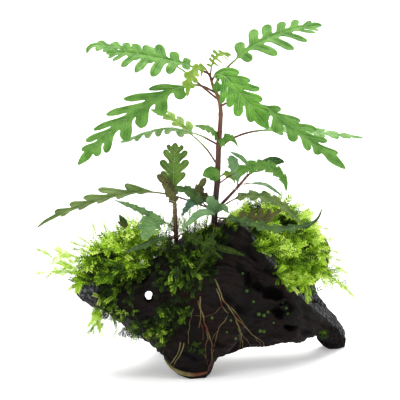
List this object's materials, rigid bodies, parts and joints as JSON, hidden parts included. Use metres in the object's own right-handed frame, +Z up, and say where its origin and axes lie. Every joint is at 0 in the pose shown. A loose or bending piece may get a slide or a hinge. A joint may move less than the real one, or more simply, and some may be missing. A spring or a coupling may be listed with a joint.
{
  "type": "hygrophila on driftwood",
  "caption": "Aquarium plant with lobed leaves on a red-brown stem, rooted on a dark piece of driftwood with cushions of feathery moss; stands on the wood's feet.",
  "frame": {"origin": "middle of the whole plant's box in plan, on the surface that the wood's feet stand on", "axes": "+Z up, +X to the right of the side that is meant to be seen, +Y towards its back"},
  "size_m": [0.2455, 0.1175, 0.2593],
  "materials": {
    "driftwood": "satin",
    "stem": "satin",
    "leaf_fresh": "satin",
    "leaf_pale": "matte",
    "leaf_lime": "satin",
    "leaf_dark": "satin",
    "leaf_bright": "satin",
    "leaf_young": "satin",
    "leaf_deep": "satin",
    "leaf_olive": "satin",
    "leaf_matte": "matte",
    "leaf_brown": "matte",
    "leaf_bluish": "satin",
    "root": "matte",
    "moss_bright": "matte",
    "moss_deep": "matte"
  },
  "bodies": {
    "root": {"driftwood_trunk": "driftwood", "driftwood_left_arm": "driftwood", "stem_main": "stem", "stem_second": "stem", "stem_branch": "stem", "leaf_left_large": "leaf_fresh", "leaf_top_left_front": "leaf_fresh", "leaf_top_left_back": "leaf_fresh", "leaf_mid_left": "leaf_pale", "leaf_mid_left_back": "leaf_lime", "leaf_mid_left_small": "leaf_dark", "leaf_top_right": "leaf_fresh", "leaf_right_front": "leaf_bright", "leaf_right_large": "leaf_fresh", "leaf_right_far": "leaf_fresh", "leaf_tip_right": "leaf_young", "leaf_tip_left": "leaf_young", "leaf_stem_small": "leaf_dark", "leaf_stem_ovate": "leaf_dark", "leaf_branch_upright": "leaf_dark", "leaf_branch_narrow": "leaf_dark", "leaf_branch_arch": "leaf_deep", "leaf_branch_back": "leaf_deep", "leaf_branch_low": "leaf_deep", "leaf_branch_bud": "leaf_dark", "leaf_low_right": "leaf_olive", "leaf_low_right_lobed": "leaf_olive", "leaf_low_right_long": "leaf_olive", "leaf_on_wood": "leaf_deep", "leaf_low_left_long": "leaf_olive", "leaf_low_left_narrow": "leaf_deep", "leaf_low_left_round": "leaf_matte", "leaf_upright_lobed": "leaf_deep", "leaf_in_left_moss": "leaf_brown", "leaf_base_brown": "leaf_brown", "leaf_base_dark": "leaf_dark", "leaf_base_dark_upright": "leaf_dark", "leaf_base_bluish": "leaf_bluish", "leaf_base_ovate": "leaf_bluish", "leaf_base_arched": "leaf_bluish", "leaf_base_bud": "leaf_dark", "leaf_front_pale": "leaf_deep", "leaf_front_hanging": "leaf_deep", "leaf_front_narrow": "leaf_deep", "root_centre": "root", "root_pale": "root", "root_thin_green": "root", "root_long_right": "root", "root_reddish": "root", "root_inner_right": "root", "root_outer_right": "root", "root_low_left": "root", "moss_left": "moss_bright", "moss_front": "moss_deep", "moss_right": "moss_bright", "moss_hanging_tuft": "moss_bright", "moss_front_sprig": "moss_deep", "moss_tip_patch": "moss_bright", "moss_ridge_sprig": "moss_bright"}
  },
  "joints": []
}
